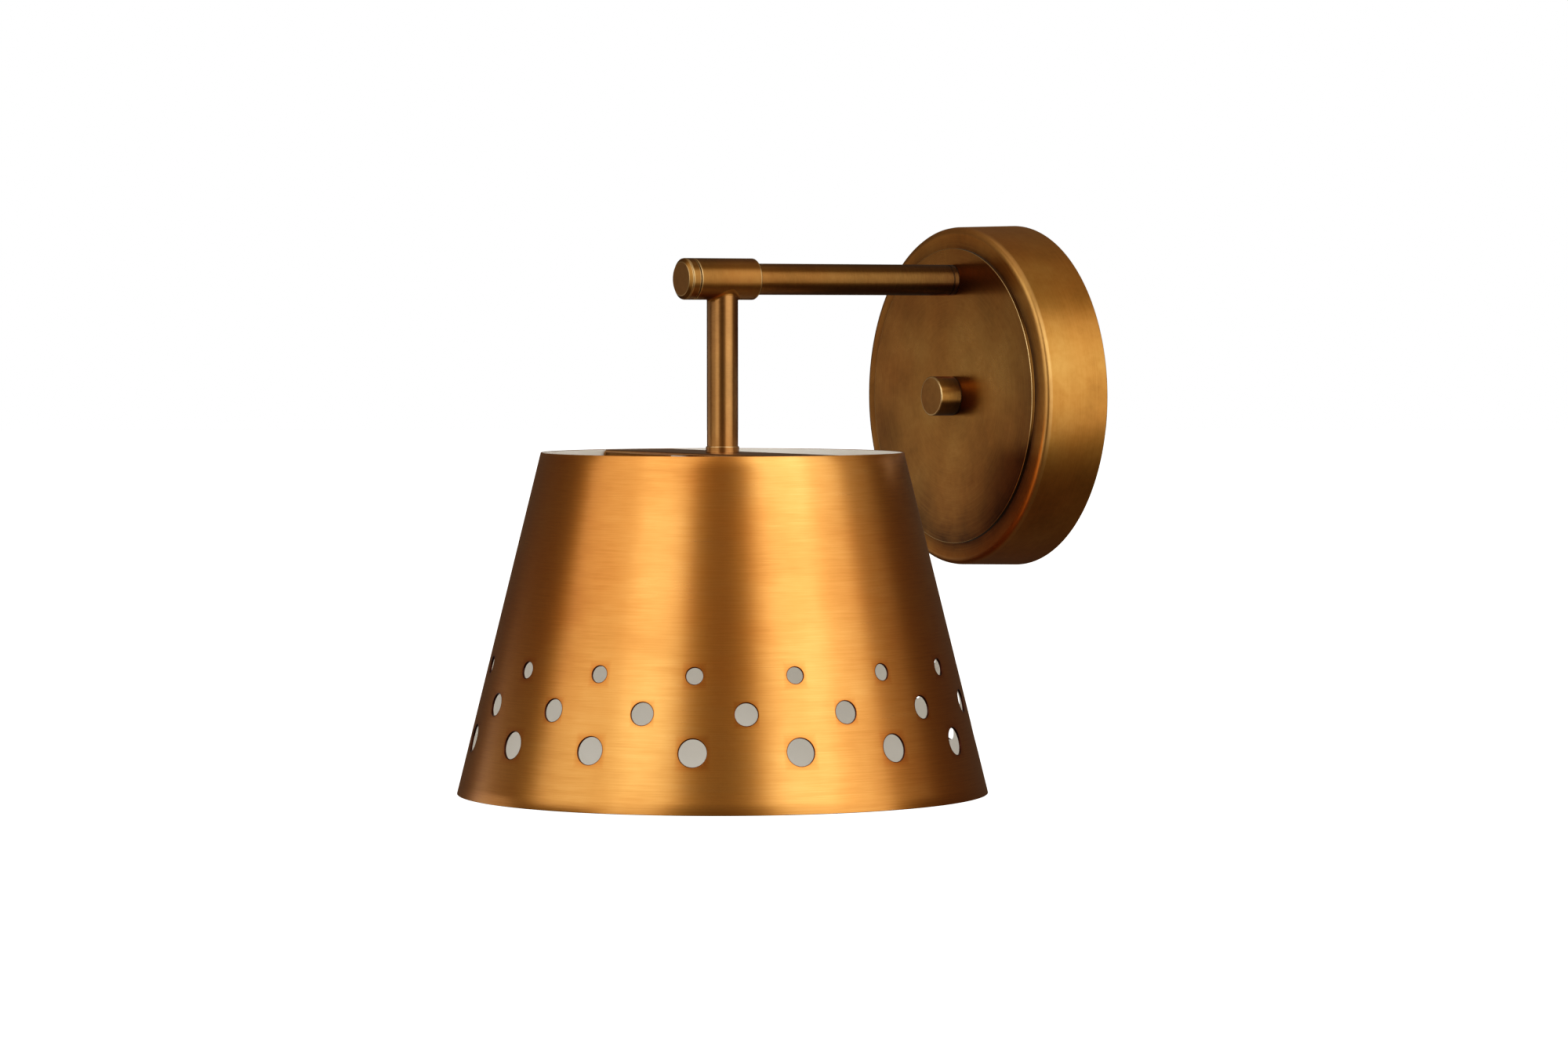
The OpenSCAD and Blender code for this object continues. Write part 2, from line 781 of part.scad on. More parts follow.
crossbar();
center_stud();
stud_lock_nut();
ground_screw();
canopy_pan();
canopy_plate();
arm_nipple();
arm_lock_washer();
arm_hex_nut();
wire_bushing();
arm_tube();
pivot_spindle();
live_lead_arm();
neutral_lead_arm();
ground_lead();
wire_connectors();
knob_washer();
canopy_knob();
end_ring();
end_cap();
tee_sleeve();
tee_braze();
downrod();
rod_collar();
rod_nipple();
shade_strap();
shade();
socket_cup();
rod_nut();
lampholder_bracket();
bracket_screws();
lampholder_body();
screw_shell();
terminal_screws();
live_strip();
live_lead_rod();
neutral_lead_rod();
contact_button();
contact_spring();
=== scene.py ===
import math

import bmesh
import bpy
from mathutils import Matrix, Vector


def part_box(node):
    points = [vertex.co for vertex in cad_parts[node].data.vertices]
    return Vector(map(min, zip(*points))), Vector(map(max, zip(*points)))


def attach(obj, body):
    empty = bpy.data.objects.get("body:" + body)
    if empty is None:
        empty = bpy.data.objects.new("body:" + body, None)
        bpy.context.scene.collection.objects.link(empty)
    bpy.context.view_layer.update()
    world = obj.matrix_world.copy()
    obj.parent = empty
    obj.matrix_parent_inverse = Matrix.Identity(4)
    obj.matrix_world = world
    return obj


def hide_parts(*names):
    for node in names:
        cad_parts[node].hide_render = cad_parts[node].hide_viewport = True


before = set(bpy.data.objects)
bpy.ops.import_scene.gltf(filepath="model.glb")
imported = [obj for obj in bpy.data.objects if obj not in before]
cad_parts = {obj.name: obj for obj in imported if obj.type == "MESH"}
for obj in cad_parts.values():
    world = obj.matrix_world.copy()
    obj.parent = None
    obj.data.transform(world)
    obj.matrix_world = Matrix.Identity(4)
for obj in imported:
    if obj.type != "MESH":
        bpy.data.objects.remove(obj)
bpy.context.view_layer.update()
MM = 0.001


# ---------- sizes taken from the frame ----------

def middle(node):
    low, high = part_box(node)
    return (low + high) / 2


def extent(node):
    low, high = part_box(node)
    return high - low


ARM_Z = middle("arm_tube").z
ROD_Y = middle("downrod").y
ROD_R = extent("downrod").x / 2
TEE_R = extent("tee_sleeve").x / 2
SHADE_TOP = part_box("shade")[1].z
SHADE_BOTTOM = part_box("shade")[0].z
SHADE_H = SHADE_TOP - SHADE_BOTTOM


# ---------- mesh helpers ----------

# How close two vertices are when they are one
MERGE = 0.001 * MM
# How far beyond an edge's rounding the flat face is held
SUPPORT = 0.35 * MM
SHARPEST_EDGE = math.radians(50)


def finished(name, bm, place):
    """Puts a bmesh where it belongs and turns it into an object at the origin."""
    bmesh.ops.transform(bm, matrix=place, verts=bm.verts)
    mesh = bpy.data.meshes.new(name)
    bm.to_mesh(mesh)
    bm.free()
    mesh.shade_smooth()
    piece = bpy.data.objects.new(name, mesh)
    bpy.context.scene.collection.objects.link(piece)
    return piece


def from_wall(x, y, z):
    """Place of a turned piece whose height runs away from the wall, along -Y."""
    return Matrix.Translation((x, y, z)) @ Matrix.Rotation(math.pi / 2, 4, "X")


def upright(x, y, z):
    """Place of a turned piece whose height runs straight up."""
    return Matrix.Translation((x, y, z))


def in_mm(corners):
    """Corners of (radius, height, edge radius) given in millimetres."""
    return [(r * MM, h * MM, edge * MM) for r, h, edge in corners]


def softened(corners, support, steps=4):
    """Closed outline of (radius, height, edge radius) corners with rounded edges, as (radius, height, edge
    mark).

    An edge radius above zero rounds the edge and marks it bright, partly wear and partly a painted highlight.
    An edge radius below zero rounds the edge and marks it for painted shade, a dark line in a groove or where
    the piece meets another.
    """
    outline = []
    count = len(corners)
    for i, (r, h, edge) in enumerate(corners):
        here = Vector((r, h))
        before = Vector(corners[i - 1][:2]) - here
        after = Vector(corners[(i + 1) % count][:2]) - here
        if edge == 0:
            outline.append((r, h, 0.0))
            continue
        edge_mark, beside = (1.0, 0.0) if edge > 0 else (-1.0, -0.6)
        edge = abs(edge)
        turn = before.angle(after)
        reach = min(edge / math.tan(turn / 2), before.length * 0.45, after.length * 0.45)
        a = here + before.normalized() * reach
        b = here + after.normalized() * reach
        far_a = here + before.normalized() * min(reach + support, before.length * 0.5)
        far_b = here + after.normalized() * min(reach + support, after.length * 0.5)
        outline.append((far_a.x, far_a.y, beside))
        for k in range(steps + 1):
            t = k / steps
            p = a * (1 - t) ** 2 + here * 2 * t * (1 - t) + b * t ** 2
            outline.append((p.x, p.y, edge_mark))
        outline.append((far_b.x, far_b.y, beside))
    return outline


def outline_verts(bm, outline):
    """Vertices of an outline of (radius, height, edge mark), with the edge marks in an attribute: wear,
    painted highlights and painted shade.
    """
    wear_and_painted_light = bm.verts.layers.float.new("wear_and_painted_light")
    ring = []
    for r, h, edge_mark in outline:
        vert = bm.verts.new((r, 0, h))
        vert[wear_and_painted_light] = edge_mark
        ring.append(vert)
    return ring


def spun(bm, ring, steps):
    """Spins a closed outline once round the Z axis. An edge that lies on the axis sweeps nothing."""
    edges = [bm.edges.new((a, b)) for a, b in zip(ring, ring[1:] + ring[:1]) if a.co.x > 0 or b.co.x > 0]
    bmesh.ops.spin(bm, geom=ring + edges, cent=(0, 0, 0), axis=(0, 0, 1), angle=2 * math.pi, steps=steps,
                   use_merge=True)
    bmesh.ops.remove_doubles(bm, verts=bm.verts, dist=MERGE)


def turned(name, corners, place, steps=144, support=SUPPORT):
    """A lathe-turned solid from its closed outline, with its edges' wear, painted highlights and painted
    shade in an attribute.
    """
    bm = bmesh.new()
    ring = outline_verts(bm, softened(corners, support))
    spun(bm, ring, steps)
    bmesh.ops.recalc_face_normals(bm, faces=bm.faces)
    return finished(name, bm, place)


def sheet_wall(piece, thickness):
    """Gives an open sheet its thickness, inwards from its face."""
    wall = piece.modifiers.new("sheet", "SOLIDIFY")
    wall.thickness = thickness
    wall.offset = -1
    return wall


def rounded_edges(piece, width):
    edge = piece.modifiers.new("edge", "BEVEL")
    edge.width = width
    edge.segments = 2
    edge.limit_method = "ANGLE"
    edge.angle_limit = SHARPEST_EDGE


def paint(piece, *finishes):
    piece.data.materials.clear()
    for finish in finishes:
        piece.data.materials.append(finish)


def stands_for(piece, node, body, slot, *finishes):
    """Gives a piece its finish and puts it in the place of a node of the frame."""
    paint(piece, *finishes)
    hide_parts(node)
    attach(piece, body)


# ---------- material helpers ----------

CREASE_SHADE = (0.03, 0.012, 0.003)
PAINTED_SHADE = (0.045, 0.018, 0.004)
WORN_EDGE_GLINT = (0.90, 0.64, 0.32)
# Lathe lines to a metre
STREAKS = 2600.0
# Depth of a finish's fine relief
RELIEF = 0.05 * MM


def set_stops(ramp, stops):
    """Colours of a colour ramp at places from 0 to 1, each stop (place, (r, g, b))."""
    elements = ramp.color_ramp.elements
    while len(elements) < len(stops):
        elements.new(0.5)
    for element, (place, colour) in zip(elements, stops):
        element.position = place
        element.color = (*colour, 1)


class Finish:
    """A material under construction, with short calls for the nodes that it uses."""

    def __init__(self, name):
        self.material = bpy.data.materials.new(name)
        self.material.use_nodes = True
        self.tree = self.material.node_tree
        self.shader = self.tree.nodes["Principled BSDF"]

    def node(self, kind, **settings):
        made = self.tree.nodes.new(kind)
        for key, value in settings.items():
            setattr(made, key, value)
        return made

    def join(self, source, target):
        self.tree.links.new(source, target)

    def set(self, **values):
        for key, value in values.items():
            self.shader.inputs[key.replace("_", " ")].default_value = value

    def math(self, operation, a, b=None, clamp=False):
        made = self.node("ShaderNodeMath", operation=operation, use_clamp=clamp)
        for socket, value in zip(made.inputs, (a, b)):
            if value is None:
                continue
            if isinstance(value, (int, float)):
                socket.default_value = value
            else:
                self.join(value, socket)
        return made.outputs[0]

    def position(self, centre=(0, 0, 0)):
        """Object coordinates measured from a centre."""
        place = self.node("ShaderNodeMapping")
        place.inputs["Location"].default_value = [-c for c in centre]
        self.join(self.node("ShaderNodeTexCoord").outputs["Object"], place.inputs["Vector"])
        return place.outputs[0]

    def vector(self, x, y, z):
        made = self.node("ShaderNodeCombineXYZ")
        for socket, value in zip(made.inputs, (x, y, z)):
            if isinstance(value, (int, float)):
                socket.default_value = value
            else:
                self.join(value, socket)
        return made.outputs[0]

    def split(self, vector):
        made = self.node("ShaderNodeSeparateXYZ")
        self.join(vector, made.inputs[0])
        return made.outputs

    def noise(self, vector, scale, detail=3.0, roughness=0.5):
        made = self.node("ShaderNodeTexNoise")
        made.inputs["Scale"].default_value = scale
        made.inputs["Detail"].default_value = detail
        made.inputs["Roughness"].default_value = roughness
        self.join(vector, made.inputs["Vector"])
        return made.outputs["Fac"]

    def ramp(self, value, *stops):
        made = self.node("ShaderNodeValToRGB")
        set_stops(made, stops)
        self.join(value, made.inputs[0])
        return made.outputs[0]

    def spread(self, value, low, high, to_low=0.0, to_high=1.0):
        made = self.node("ShaderNodeMapRange")
        for socket, number in zip(made.inputs[1:5], (low, high, to_low, to_high)):
            socket.default_value = number
        self.join(value, made.inputs[0])
        return made.outputs[0]

    def mix(self, amount, a, b, blend="MIX"):
        made = self.node("ShaderNodeMix", data_type="RGBA", blend_type=blend)
        for socket, value in ((made.inputs[0], amount), (made.inputs[6], a), (made.inputs[7], b)):
            if isinstance(value, (int, float)):
                socket.default_value = value
            elif isinstance(value, tuple):
                socket.default_value = (*value, 1)
            else:
                self.join(value, socket)
        return made.outputs[2]

    def attribute(self, name):
        made = self.node("ShaderNodeAttribute", attribute_name=name)
        return made.outputs["Fac"]

    def bump(self, height, strength, distance):
        made = self.node("ShaderNodeBump")
        made.inputs["Strength"].default_value = strength
        made.inputs["Distance"].default_value = distance
        self.join(height, made.inputs["Height"])
        self.join(made.outputs[0], self.shader.inputs["Normal"])


def round_streaks(finish, centre, axis):
    """Fine lathe lines round an axis, drawn out along the turn. Returns their strength and the radius."""
    x, y, z = finish.split(finish.position(centre))
    side, depth, height = {"X": (y, z, x), "Y": (x, z, y), "Z": (x, y, z)}[axis]
    radius = finish.math("SQRT", finish.math("ADD", finish.math("MULTIPLY", side, side),
                                             finish.math("MULTIPLY", depth, depth)))
    angle = finish.math("ARCTAN2", side, depth)
    fine = finish.vector(finish.math("MULTIPLY", radius, STREAKS), finish.math("MULTIPLY", height, STREAKS),
                         finish.math("MULTIPLY", angle, 2.4))
    return finish.noise(fine, 1.0, 2.0, 0.6), radius


def aged_brass(name, centre, axis, light, dull, edge_wear_and_glint=0.8, lacquer=0.2, painted_shade_ring=None):
    """Dark rubbed brass: cloudy patina, fine turned lines, edges bright partly from wear and partly as a
    painted highlight, and dark as painted shade where they are marked below zero.

    A dark ring of painted shade is given by its radius from the axis, how far it spreads, and how strong it
    is at the top, where 1 is its strength at the bottom.
    """
    f = Finish(name)
    lines, radius = round_streaks(f, centre, axis)
    place = f.position()
    clouds = f.noise(place, 38.0, 4.0, 0.55)
    specks = f.noise(place, 420.0, 3.0, 0.6)
    tone = f.math("ADD", f.math("MULTIPLY", clouds, 0.8), f.math("MULTIPLY", specks, 0.2))
    patina = f.ramp(tone, (0.34, (0.36 * light, 0.160 * light, 0.034 * light)),
                    (0.50, (0.46 * light, 0.207 * light, 0.047 * light)),
                    (0.66, (0.54 * light, 0.262 * light, 0.066 * light)))
    hue = f.ramp(f.noise(place, 16.0, 3.0, 0.6), (0.35, (1.06, 0.94, 0.86)), (0.65, (0.96, 1.0, 1.0)))
    patina = f.mix(1.0, patina, hue, "MULTIPLY")
    # A ring of painted shade round the plate's edge, darker towards the bottom and broken up by patches.
    if painted_shade_ring:
        ring, width, top = painted_shade_ring
        away = f.math("ABSOLUTE", f.math("SUBTRACT", radius, ring))
        patches = f.spread(f.noise(place, 24.0, 4.0, 0.65), 0.35, 0.62, 0.45, 1.0)
        low = f.spread(f.split(place)[2], -0.05, 0.02, 1.0, top)
        dark = f.math("MULTIPLY", f.math("POWER", f.spread(away, 0.0, width, 1.0, 0.0), 1.6),
                      f.math("MULTIPLY", patches, low), clamp=True)
        patina = f.mix(dark, patina, PAINTED_SHADE)
    # Edges marked below zero are darkened with painted shade, in grooves and where the piece meets another.
    tarnish = f.math("MULTIPLY", f.attribute("wear_and_painted_light"), -1.1, clamp=True)
    patina = f.mix(tarnish, patina, CREASE_SHADE)
    brushed = f.mix(f.spread(lines, 0.40, 0.70, 0.0, 0.18), patina,
                    (0.60 * light, 0.30 * light, 0.075 * light))
    # Edges marked above zero turn bright: partly wear, partly a painted highlight.
    rubbed = f.mix(f.math("MULTIPLY", f.attribute("wear_and_painted_light"), edge_wear_and_glint, clamp=True), brushed, WORN_EDGE_GLINT)
    f.join(rubbed, f.shader.inputs["Base Color"])
    f.join(f.spread(f.math("ADD", tone, f.math("MULTIPLY", lines, 0.3)), 0.4, 0.9, dull + 0.03, dull - 0.03),
           f.shader.inputs["Roughness"])
    f.set(Metallic=1.0, Coat_Weight=lacquer, Coat_Roughness=0.3)
    f.bump(lines, 0.08, RELIEF)
    return f.material


def shade_brass(name):
    """Golden rubbed brass, brushed round the cone, with reddish clouds and tarnish round the holes."""
    f = Finish(name)
    centre = (0, ROD_Y, 0)
    x, y, z = f.split(f.position(centre))
    angle = f.math("ARCTAN2", y, x)
    fine = f.vector(f.math("MULTIPLY", z, STREAKS), f.math("MULTIPLY", angle, 5.0),
                    f.math("MULTIPLY", x, 4.0))
    lines = f.noise(fine, 1.0, 3.0, 0.65)
    broad = f.vector(f.math("MULTIPLY", z, STREAKS / 10), f.math("MULTIPLY", angle, 3.0),
                     f.math("MULTIPLY", x, 6.0))
    bands = f.noise(broad, 1.0, 2.0, 0.5)
    clouds = f.noise(f.position(), 18.0, 4.0, 0.6)
    tone = f.math("ADD", f.math("MULTIPLY", lines, 0.36),
                  f.math("ADD", f.math("MULTIPLY", bands, 0.14), f.math("MULTIPLY", clouds, 0.50)))
    colour = f.ramp(tone, (0.38, (0.66, 0.262, 0.052)), (0.50, (0.76, 0.318, 0.070)),
                    (0.62, (0.83, 0.372, 0.092)))
    hue = f.ramp(f.noise(f.position((0.03, 0, 0)), 8.0, 4.0, 0.6),
                 (0.36, (0.94, 0.82, 0.72)), (0.60, (1.0, 1.02, 1.04)))
    colour = f.mix(1.0, colour, hue, "MULTIPLY")
    halo = f.ramp(f.attribute("wear_and_painted_light"), (0.0, (1.0, 1.0, 1.0)), (0.32, (0.86, 0.70, 0.55)),
                  (0.7, (0.12, 0.07, 0.04)))
    f.join(f.mix(1.0, colour, halo, "MULTIPLY"), f.shader.inputs["Base Color"])
    f.join(f.spread(tone, 0.35, 0.65, 0.33, 0.27), f.shader.inputs["Roughness"])
    f.set(Metallic=1.0, Coat_Weight=0.4, Coat_Roughness=0.25)
    f.bump(lines, 0.07, RELIEF)
    return f.material


def plain(name, colour, roughness, metallic=0.0, grain=0.06, scale=600.0):
    """A simple finish with a fine grain in its colour, gloss and surface."""
    f = Finish(name)
    grains = f.noise(f.position(), scale, 3.0, 0.55)
    darker = tuple(c * (1 - grain * 2) for c in colour)
    lighter = tuple(min(c * (1 + grain), 1.0) for c in colour)
    f.join(f.ramp(grains, (0.35, darker), (0.65, lighter)), f.shader.inputs["Base Color"])
    f.join(f.spread(grains, 0.3, 0.7, roughness * 1.15, roughness * 0.85), f.shader.inputs["Roughness"])
    f.set(Metallic=metallic)
    f.bump(grains, 0.08, RELIEF)
    return f.material


def enamel():
    """White enamel sprayed inside the shade."""
    f = Finish("shade_enamel")
    peel = f.noise(f.position(), 520.0, 2.0, 0.5)
    clouds = f.noise(f.position(), 30.0, 3.0, 0.5)
    white = f.ramp(clouds, (0.3, (0.74, 0.70, 0.62)), (0.7, (0.80, 0.77, 0.70)))
    f.join(white, f.shader.inputs["Base Color"])
    f.set(Roughness=0.38)
    f.bump(peel, 0.12, 0.08 * MM)
    return f.material


# ---------- camera, light and floor ----------

AIM = Vector((0, -0.0711, -0.0508))
CAMERA_AZIMUTH = math.radians(58.714)
CAMERA_RISE = math.radians(2.141)
CAMERA_DISTANCE = 2.128
LENS = 125.96
SENSOR_WIDTH = 36
CAMERA_SHIFT = (-0.048, 0.0033)


def direction(azimuth, rise):
    return Vector((math.sin(azimuth) * math.cos(rise), -math.cos(azimuth) * math.cos(rise), math.sin(rise)))


def look(thing, place, aim):
    thing.location = place
    thing.rotation_euler = (aim - place).to_track_quat("-Z", "Y").to_euler()


def make_camera():
    data = bpy.data.cameras.new("camera")
    data.lens = LENS
    data.sensor_width = SENSOR_WIDTH
    data.shift_x, data.shift_y = CAMERA_SHIFT
    camera = bpy.data.objects.new("camera", data)
    bpy.context.scene.collection.objects.link(camera)
    look(camera, AIM + direction(CAMERA_AZIMUTH, CAMERA_RISE) * CAMERA_DISTANCE, AIM)
    bpy.context.scene.camera = camera


def softbox(name, side, rise, half_width, half_height, level, distance=1.5):
    """A soft panel placed by its bearing from the camera's, with its size and place in degrees.

    Its level is how bright its face is, where 1 is paper white.
    """
    width = 2 * distance * math.tan(math.radians(half_width))
    height = 2 * distance * math.tan(math.radians(half_height))
    data = bpy.data.lights.new(name, "AREA")
    data.shape = "RECTANGLE"
    data.size = width
    data.size_y = height
    data.energy = level * math.pi * width * height
    lamp = bpy.data.objects.new(name, data)
    bpy.context.scene.collection.objects.link(lamp)
    lamp.visible_camera = False
    look(lamp, AIM + direction(CAMERA_AZIMUTH + math.radians(side), math.radians(rise)) * distance, AIM)


# For each softbox: its bearing, rise, half width and half height in degrees, and its level
SOFTBOXES = {
    "left_softbox": (-36, 33, 14, 20, 1.65),
    "left_low_softbox": (-38, -4, 13, 17, 1.05),
    "far_left_softbox": (-69, 24, 16, 22, 0.95),
    "right_softbox": (35, 33, 15, 20, 2.0),
    "right_low_softbox": (35, -4, 13, 17, 1.2),
    "far_right_softbox": (61, 14, 14, 33, 1.25),
    "side_right_softbox": (90, 26, 13, 20, 0.2),
    "back_left_softbox": (-114, -8, 16, 12, 0.42),
    "top_softbox": (0, 84, 24, 24, 0.4),
}


def make_lights():
    for name, box in SOFTBOXES.items():
        softbox(name, *box)
    make_room()


# How bright the dim room is from its floor at 0 to its ceiling at 1
ROOM_LEVELS = ((0.0, 0.1), (0.3, 0.06), (0.5, 0.06), (0.75, 0.11), (1.0, 0.2))


def make_room():
    """White behind the object, a dim room in its reflections, and pale walls for its soft light."""
    world = bpy.data.worlds.new("studio")
    world.use_nodes = True
    bpy.context.scene.world = world
    tree = world.node_tree
    nodes, links = tree.nodes, tree.links
    backdrop = nodes["Background"]
    backdrop.inputs[0].default_value = (1, 1, 1, 1)
    walls = nodes.new("ShaderNodeBackground")
    walls.inputs[0].default_value = (1, 0.97, 0.93, 1)
    walls.inputs[1].default_value = 0.55
    room = nodes.new("ShaderNodeBackground")
    coords = nodes.new("ShaderNodeTexCoord")
    height = nodes.new("ShaderNodeSeparateXYZ")
    links.new(coords.outputs["Generated"], height.inputs[0])
    grade = nodes.new("ShaderNodeMapRange")
    for socket, number in zip(grade.inputs[1:5], (-1, 1, 0.0, 1.0)):
        socket.default_value = number
    links.new(height.outputs["Z"], grade.inputs[0])
    ramp = nodes.new("ShaderNodeValToRGB")
    set_stops(ramp, [(place, (level, level * 0.84, level * 0.68)) for place, level in ROOM_LEVELS])
    links.new(grade.outputs[0], ramp.inputs[0])
    links.new(ramp.outputs[0], room.inputs[0])
    rays = nodes.new("ShaderNodeLightPath")
    soft = nodes.new("ShaderNodeMixShader")
    links.new(rays.outputs["Is Diffuse Ray"], soft.inputs[0])
    links.new(room.outputs[0], soft.inputs[1])
    links.new(walls.outputs[0], soft.inputs[2])
    seen = nodes.new("ShaderNodeMixShader")
    links.new(rays.outputs["Is Camera Ray"], seen.inputs[0])
    links.new(soft.outputs[0], seen.inputs[1])
    links.new(backdrop.outputs[0], seen.inputs[2])
    links.new(seen.outputs[0], nodes["World Output"].inputs[0])


# Tones from 0 to 1 and what each becomes
CONTRAST = ((0.012, 0.007), (0.04, 0.034), (0.11, 0.115), (0.3, 0.342), (0.6, 0.665))


def make_contrast():
    """Plain colours with slightly deeper darks and lighter middle tones."""
    view = bpy.context.scene.view_settings
    view.view_transform = "Standard"
    view.use_curve_mapping = True
    points = view.curve_mapping.curves[3].points
    for place in CONTRAST:
        points.new(*place)
    view.curve_mapping.update()


FLOOR_R = 30
FLOOR_DROP = 0.45


def make_floor():
    bm = bmesh.new()
    bmesh.ops.create_circle(bm, cap_ends=True, segments=96, radius=FLOOR_R)
    floor = finished("floor", bm, upright(0, 0, SHADE_BOTTOM - FLOOR_DROP))
    f = Finish("floor_paper")
    grains = f.noise(f.position(), 3.0)
    paper = f.ramp(grains, (0.3, (0.93, 0.93, 0.92)), (0.7, (0.95, 0.95, 0.95)))
    f.join(paper, f.shader.inputs["Base Color"])
    glow = f.ramp(grains, (0.3, (0.93, 0.93, 0.93)), (0.7, (0.95, 0.95, 0.95)))
    f.join(glow, f.shader.inputs["Emission Color"])
    f.set(Roughness=0.9, Emission_Strength=0.9)
    floor.data.materials.append(f.material)
    floor.visible_glossy = False
    floor.visible_diffuse = False


make_camera()
make_lights()
make_contrast()
make_floor()


# ---------- materials ----------

CANOPY_CENTRE = (0, 0, 0)
ARM_CENTRE = (0, 0, ARM_Z)
ROD_CENTRE = (0, ROD_Y, 0)

# Each piece has its own copy of the brass, made lighter or darker by its fourth value to look as brightly lit
# as that piece: painted light and shade.
CANOPY_BRASS = aged_brass("canopy_brass", CANOPY_CENTRE, "Y", 1.1, 0.41, 0.12, 0.1, (0.0577, 0.0065, 1.0))
PLATE_BRASS = aged_brass("plate_brass", CANOPY_CENTRE, "Y", 1.03, 0.29, 0.7, 0.1, (0.0577, 0.042, 0.35))
ARM_BRASS = aged_brass("arm_brass", ARM_CENTRE, "Y", 0.56, 0.37, 0.3)
TEE_BRASS = aged_brass("tee_brass", ARM_CENTRE, "Y", 0.58, 0.38, 0.45)
ROD_BRASS = aged_brass("rod_brass", ROD_CENTRE, "Z", 0.86, 0.31, 0.6, 0.8)
KNOB_BRASS = aged_brass("knob_brass", CANOPY_CENTRE, "Y", 0.85, 0.33, 0.7)
CAP_BRASS = aged_brass("cap_brass", ARM_CENTRE, "Y", 0.74, 0.34, 0.6)
BRAZE_BRASS = aged_brass("braze_brass", ROD_CENTRE, "Z", 0.85, 0.35, 0.3)
SHADE_BRASS = shade_brass("shade_outside")
SHADE_WHITE = enamel()
RAW_BRASS = plain("raw_brass", (0.83, 0.60, 0.28), 0.28, 1.0)
ZINC = plain("zinc_steel", (0.66, 0.67, 0.68), 0.34, 1.0, 0.1, 300.0)
NICKEL = plain("nickel_sheet", (0.76, 0.74, 0.70), 0.2, 1.0)
SPRING = plain("spring_wire", (0.55, 0.56, 0.57), 0.25, 1.0)
PORCELAIN = plain("porcelain_glaze", (0.88, 0.87, 0.83), 0.12, 0.0, 0.01, 90.0)
GREEN_SCREW = plain("green_screw_plating", (0.06, 0.34, 0.13), 0.35, 0.6)
BLACK_PLASTIC = plain("black_plastic", (0.025, 0.025, 0.027), 0.45)
NYLON = plain("nylon", (0.78, 0.75, 0.66), 0.5)
CONNECTOR = plain("connector_plastic", (0.78, 0.26, 0.04), 0.42)
BLACK_LEAD = plain("black_lead", (0.03, 0.03, 0.034), 0.5)
WHITE_LEAD = plain("white_lead", (0.80, 0.79, 0.74), 0.5)
GREEN_LEAD = plain("green_lead", (0.04, 0.30, 0.09), 0.5)

NODE_FINISH = {
    "crossbar": ZINC, "arm_lock_washer": ZINC, "lampholder_bracket": ZINC, "bracket_screws": ZINC,
    "center_stud": RAW_BRASS, "stud_lock_nut": RAW_BRASS, "arm_nipple": RAW_BRASS, "arm_hex_nut": RAW_BRASS,
    "pivot_spindle": RAW_BRASS, "rod_nipple": RAW_BRASS, "rod_nut": RAW_BRASS, "terminal_screws": RAW_BRASS,
    "live_strip": RAW_BRASS, "contact_button": RAW_BRASS, "ground_screw": GREEN_SCREW,
    "wire_bushing": BLACK_PLASTIC, "knob_washer": NYLON, "wire_connectors": CONNECTOR,
    "live_lead_arm": BLACK_LEAD, "live_lead_rod": BLACK_LEAD, "neutral_lead_arm": WHITE_LEAD,
    "neutral_lead_rod": WHITE_LEAD, "ground_lead": GREEN_LEAD, "screw_shell": NICKEL,
    "contact_spring": SPRING, "lampholder_body": PORCELAIN,
    "canopy_pan": CANOPY_BRASS, "canopy_plate": PLATE_BRASS, "canopy_knob": KNOB_BRASS,
    "arm_tube": ARM_BRASS, "tee_sleeve": TEE_BRASS, "tee_braze": BRAZE_BRASS, "end_ring": TEE_BRASS,
    "end_cap": CAP_BRASS, "downrod": ROD_BRASS, "rod_collar": ROD_BRASS, "shade_strap": ROD_BRASS,
    "socket_cup": ROD_BRASS, "shade": SHADE_BRASS,
}


for node_name, finish in NODE_FINISH.items():
    paint(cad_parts[node_name], finish)


# ---------- shade ----------

SHADE_WALL = 0.8 * MM
SHADE_TOP_R = 69.35 * MM
SHADE_BOTTOM_R = 101.6 * MM
ROW_HOLES = 15
ROW_TURN = math.radians(11.5)
ROW_DROP = 80 * MM
ROW_PITCH = 13.9 * MM
# For each row: hole diameter, half the cells that the hole's patch takes, and 1 where the row is turned
# by half a pitch
HOLE_ROWS = [(6.3 * MM, 3, 0), (8.6 * MM, 3, 1), (10.5 * MM, 4, 0)]
HOLE_RIM = 0.4 * MM
COLUMNS = 360
PITCH_CELLS = 8


def shade_drops():
    """Heights of the shade's grid lines, as drops from its top edge, fine where the holes are."""
    cell = ROW_PITCH / PITCH_CELLS
    first = ROW_DROP - 4 * cell
    last = ROW_DROP + 2 * ROW_PITCH + 5 * cell
    fine = round((last - first) / cell)
    above = [first * i / 16 for i in range(16)]
    within = [first + cell * i for i in range(fine)]
    lip = SHADE_WALL * (SHADE_BOTTOM_R - SHADE_TOP_R) / SHADE_H
    below = [last + (SHADE_H - lip - last) * i / 3 for i in range(4)]
    return above + within + below, len(above)


def on_cone(arc_column, drop):
    """Point of the shade's outer face at a column of the grid and a drop from the top edge."""
    turn = ROW_TURN + 2 * math.pi * arc_column / COLUMNS
    r = SHADE_TOP_R + (SHADE_BOTTOM_R - SHADE_TOP_R) * drop / SHADE_H
    return Vector((r * math.cos(turn), r * math.sin(turn), -drop))


